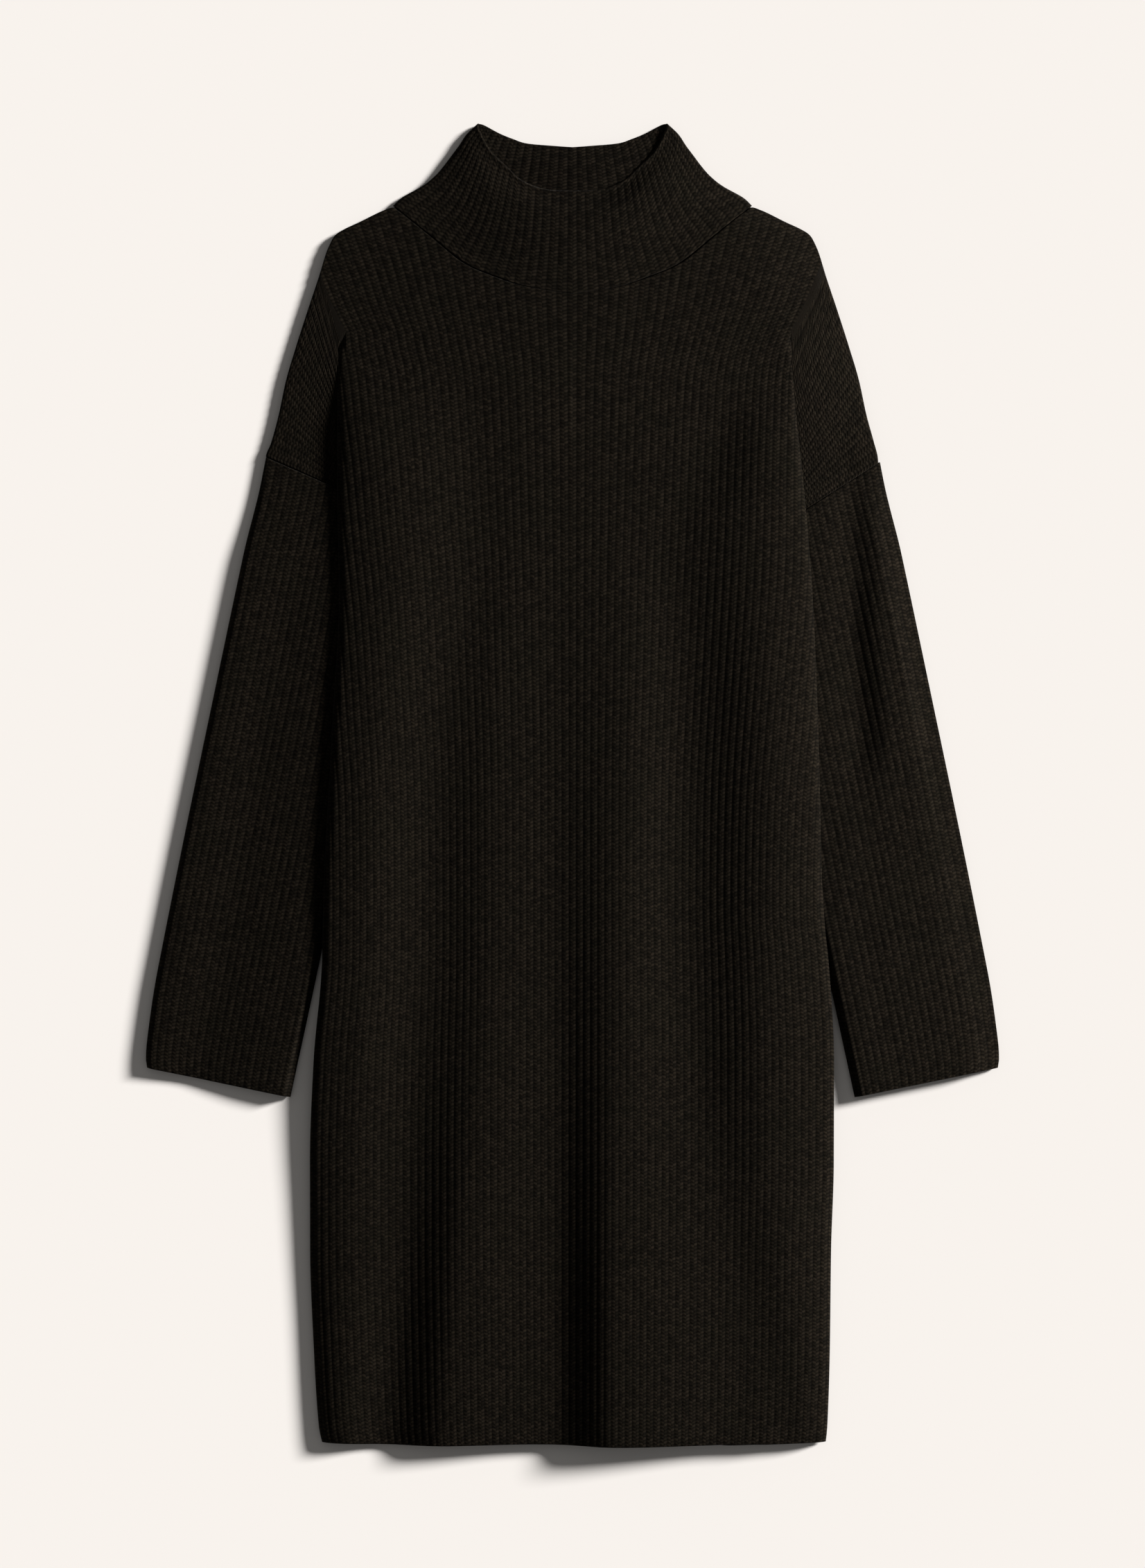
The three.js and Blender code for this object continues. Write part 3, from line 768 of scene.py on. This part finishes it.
def make_collar(material):
    """Collar: a flattened funnel; a runs round it from side to side and v from base to top."""
    shell = Shell()
    curves = {name: spline(path) for name, path in COLLAR.items()}
    half = COLLAR_RIBS // 2
    a_front = np.arange(-half * PER_RIB, half * PER_RIB + 1) / (half * PER_RIB)
    a_back = a_front[::-1][1:-1]
    a = np.concatenate([a_front, a_back])
    ahead = np.arange(len(a)) < len(a_front)
    v = near_edges(46, COLLAR_TALL)[:, None]

    def at(a):
        size = np.abs(a)
        eased = mix(size, 1.25 * size - 0.25 * size**3, v)
        front = mix(curves["base"](size + 0 * v), curves["top"](eased), v[..., None])
        back = mix(curves["back_base"](size + 0 * v), curves["back_top"](eased), v[..., None])
        chord = mix(curves["side"](0.0), curves["side"](1.0), v)
        bow = (curves["side"](v[:, 0]) - chord)[:, None] * (size**2)[:, None]
        flat = np.where(ahead[:, None], front, back) + bow
        return np.sign(a) * flat[..., 0], flat[..., 1]

    x, y = at(a)
    inner_end = 0.972
    xi, yi = at(np.clip(a, -inner_end, inner_end))
    base_half, rim_half = 159, 92
    to_side = (1 - np.abs(a)) * mix(base_half, rim_half, v)
    round_side = rounding(to_side + 0.02, 3.2)
    crown = COLLAR_CROWN * smooth(0, 0.7, v) * (1 - np.abs(a) ** 3) + chest_rise(x, y)
    crown = crown * (1 - 0.45 * smooth(0.75, 1, v))
    u = np.where(ahead, a * half, a * COLLAR_BACK_RIBS / 2) + 0 * v
    from_base, from_top = v * COLLAR_TALL, (1 - v) * COLLAR_TALL
    roll = RIM_ROLL * np.exp(-((from_top - 1.4) / 1.3) ** 2)
    plain_rim = smooth(1.5, 4, from_top)
    upper = FRONT_UNDER + crown + WALL + rib(u) * plain_rim + roll
    z_out = EDGE_HEIGHT + (np.where(ahead, upper, 0) - EDGE_HEIGHT) * round_side
    opened = mix(0.2, 0.9, smooth(-0.6, 0.15, a)) * (FRONT_UNDER + crown - BACK_WALL)
    shown = smooth(0.2, 0.5, v) * smooth(0.95, 0.75, np.abs(a))
    behind = BACK_WALL - 0.2 + rib(u) * shown + opened * smooth(0.05, 0.5, v)
    z_in = np.where(ahead, FRONT_UNDER + crown, behind)
    layer = np.where(ahead, FRONT_UNDER + crown + WALL / 2, BACK_WALL / 2)
    layer = mix(EDGE_HEIGHT, layer, smooth(0, 3, to_side))
    soft_base = mix(0.25, 0.9, smooth(30, 75, np.abs(x)) * ahead + ~ahead)
    ends = rounding(from_base, soft_base) * rounding(from_top, 1.6)
    z_out = layer + (z_out - layer) * ends
    z_in = layer + (z_in - layer) * ends
    uv = np.stack([u, from_base / STITCH + 0 * u], -1)
    ids = shell.add(points(x, y, z_out), points(xi, yi, z_in), uv)
    shell.weave(np.hstack([ids, ids[:, :1]]))
    return shell.build("collar_knit", material)


class Value:
    """A shader socket, or a number, with arithmetic."""

    def __init__(self, graph, socket):
        self.graph, self.socket = graph, socket

    def math(self, kind, *others, swap=False):
        args = [self, *others]
        return self.graph.math(kind, *(args[::-1] if swap else args))

    def __add__(self, o):
        return self.math("ADD", o)

    def __sub__(self, o):
        return self.math("SUBTRACT", o)

    def __mul__(self, o):
        return self.math("MULTIPLY", o)

    def __pow__(self, o):
        return self.math("POWER", o)

    def __radd__(self, o):
        return self.math("ADD", o, swap=True)

    def __rsub__(self, o):
        return self.math("SUBTRACT", o, swap=True)

    def __rmul__(self, o):
        return self.math("MULTIPLY", o, swap=True)

    def __abs__(self):
        return self.math("ABSOLUTE")


class Graph:
    """A material's nodes, made one at a time from a type, settings and inputs."""

    def __init__(self, name):
        self.material = bpy.data.materials.new(name)
        self.material.use_nodes = True
        self.tree = self.material.node_tree
        self.tree.nodes.clear()

    def node(self, kind, settings=None, inputs=None):
        made = self.tree.nodes.new(kind)
        for key, value in (settings or {}).items():
            setattr(made, key, value)
        for key, value in (inputs or {}).items():
            if isinstance(value, Value):
                self.tree.links.new(value.socket, made.inputs[key])
            elif isinstance(value, bpy.types.NodeSocket):
                self.tree.links.new(value, made.inputs[key])
            else:
                made.inputs[key].default_value = value
        return made

    def math(self, kind, *args):
        made = self.node("ShaderNodeMath", {"operation": kind}, dict(enumerate(args)))
        return Value(self, made.outputs[0])

    def noise(self, vector, scale, detail=2.0, rough=0.5):
        made = self.node(
            "ShaderNodeTexNoise",
            {},
            {"Vector": vector, "Scale": scale, "Detail": detail, "Roughness": rough},
        )
        return Value(self, made.outputs["Fac"])

    def blend(self, factor, a, b):
        made = self.node("ShaderNodeMix", {"data_type": "RGBA"}, {0: factor, 6: a, 7: b})
        return made.outputs[2]


def knit(name, ribs_in_bump):
    """Dark wool rib: two slanted legs a stitch and heathered fibres, with the relief's shade
    painted into the colour: darker between the stitches and in the furrows, lighter on the legs.
    With a = 2 |distance from the rib's middle|, a leg is 4 a (1 - a), and a stitch is
    0.5 + 0.5 cos(2 pi (row - 0.3 a)), half a row on from one leg to the next."""
    g = Graph(name)
    place = g.node("ShaderNodeTexCoord").outputs["Object"]
    uv = g.node("ShaderNodeUVMap", {"uv_map": "rib_and_row"}).outputs[0]
    split = g.node("ShaderNodeSeparateXYZ", {}, {0: uv})
    wobble = g.noise(place, 260.0, 2.0) - 0.5
    slow = g.noise(place, 45.0, 1.0) - 0.5
    u = Value(g, split.outputs[0]) + 0.16 * wobble
    rib_number = (u + 0.5).math("FLOOR")
    row = Value(g, split.outputs[1]) + 0.3 * wobble + 0.8 * slow + 0.37 * rib_number
    across_rib = (u + 0.5).math("FRACT") - 0.5
    a = 2 * abs(across_rib)
    leg = 4 * a * (1 - a)
    column = (u * 2).math("FLOOR")
    phase = row - 0.3 * a + 0.5 * column
    stitch = 0.5 + 0.5 * (phase * (2 * math.pi)).math("COSINE")
    fibre = g.noise(place, 2600.0, 3.0, 0.65)
    height = 0.1 * leg + 0.36 * stitch + 0.5 * fibre
    if ribs_in_bump:
        height = height + 1.2 * (1 - a**2.2)
    bump = g.node(
        "ShaderNodeBump",
        {},
        {"Height": height * 0.0008, "Strength": 1.0, "Distance": 1.0},
    )
    cell = g.node("ShaderNodeCombineXYZ", {}, {0: column, 1: (phase + 0.5).math("FLOOR")})
    random = g.node("ShaderNodeTexWhiteNoise", {}, {"Vector": cell.outputs[0]})
    patch = g.noise(place, 30.0, 3.0, 0.6)
    tone = 0.5 + 0.8 * (Value(g, random.outputs["Value"]) - 0.5) + 2.2 * (fibre - 0.5)
    tone = tone.math("MINIMUM", 1.0).math("MAXIMUM", 0.0)
    colour = g.blend(tone, (0.0038, 0.0029, 0.0019, 1), (0.0172, 0.0130, 0.0087, 1))
    tint = ((patch - 0.42) * 2.2).math("MINIMUM", 1.0).math("MAXIMUM", 0.0)
    colour = g.blend(tint * 0.45, colour, (0.0086, 0.0079, 0.0045, 1))
    # Painted shade and highlight: the colour darkens between stitch rows, beside the legs and
    # most in the furrows between ribs, as the knit's relief would be shaded
    painted_stitch_shade = (0.3 + 0.7 * stitch) * (0.78 + 0.22 * leg) * (1 - 0.66 * a**7)
    colour = g.blend(painted_stitch_shade, (0.0008, 0.0007, 0.0005, 1), colour)
    surface = g.node(
        "ShaderNodeBsdfPrincipled",
        {},
        {
            "Base Color": colour,
            "Roughness": 0.92,
            "Specular IOR Level": 0.03,
            "Sheen Weight": 0.035,
            "Sheen Roughness": 0.3,
            "Sheen Tint": (1.0, 0.93, 0.84, 1),
            "Normal": bump.outputs[0],
        },
    )
    g.node("ShaderNodeOutputMaterial", {}, {"Surface": surface.outputs[0]})
    return g.material


wool = knit("rib_knit", False)
plain_wool = knit("rib_knit_back", True)
front = make_front(wool)
back = make_back(plain_wool)
sleeve_left = make_sleeve("left", wool)
sleeve_right = make_sleeve("right", wool)
collar = make_collar(wool)

for piece, node in (
    (front, "front"),
    (back, "back"),
    (sleeve_left, "sleeve_left"),
    (sleeve_right, "sleeve_right"),
    (collar, "collar"),
):
    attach(piece, "root")
    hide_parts(node)

floor_graph = Graph("pale_paper")
paper = floor_graph.node(
    "ShaderNodeBsdfDiffuse", {}, {"Color": (0.815, 0.781, 0.745, 1), "Roughness": 0.0}
)
floor_graph.node("ShaderNodeOutputMaterial", {}, {"Surface": paper.outputs[0]})
floor_mesh = bpy.data.meshes.new("floor")
reach, level = 40.0, -0.0003
corners = [(-reach, -reach), (reach, -reach), (reach, reach), (-reach, reach)]
floor_mesh.from_pydata([(x, y, level) for x, y in corners], [], [(0, 1, 2, 3)])
floor_mesh.materials.append(floor_graph.material)
floor = bpy.data.objects.new("floor", floor_mesh)
bpy.context.collection.objects.link(floor)


def lamp(light, azimuth, elevation, away, shines_on):
    """A light that looks at the origin from an azimuth and an elevation in degrees and a
    distance in metres, and that lights only the objects listed."""
    light.color = (1.0, 0.99, 0.985)
    obj = bpy.data.objects.new(light.name, light)
    turn, tilt = math.radians(azimuth), math.radians(elevation)
    level = away * math.cos(tilt)
    obj.location = (level * math.cos(turn), level * math.sin(turn), away * math.sin(tilt))
    obj.rotation_euler = (math.pi / 2 - tilt, 0, math.pi / 2 + turn)
    bpy.context.collection.objects.link(obj)
    lit = bpy.data.collections.new(f"{light.name}_shines_on")
    for thing in shines_on:
        lit.objects.link(thing)
    obj.light_linking.receiver_collection = lit


softbox = bpy.data.lights.new("softbox", "AREA")
softbox.shape, softbox.size, softbox.energy = "DISK", 0.55, 206
lamp(softbox, 10, 21, 2.6, [front, back, sleeve_left, sleeve_right, collar])
even = bpy.data.lights.new("even", "SUN")
even.energy, even.angle = 8.9, math.radians(12)
lamp(even, 25, 21, 5, [floor])
world = bpy.data.worlds.new("studio")
world.use_nodes = True
sky = world.node_tree.nodes["Background"]
sky.inputs["Color"].default_value = (1.0, 0.995, 0.99, 1)
sky.inputs["Strength"].default_value = 0.14
bpy.context.scene.world = world

camera = bpy.data.cameras.new("camera")
camera.lens, camera.sensor_width = 100, 36
camera.clip_start, camera.clip_end = 0.05, 50
eye = bpy.data.objects.new("camera", camera)
eye.location = (0, SHIFT_Y * MM, FRAME_LONG_SIDE * MM * camera.lens / camera.sensor_width)
bpy.context.collection.objects.link(eye)
bpy.context.scene.camera = eye
bpy.context.scene.view_settings.view_transform = "Standard"
bpy.context.scene.view_settings.look = "None"
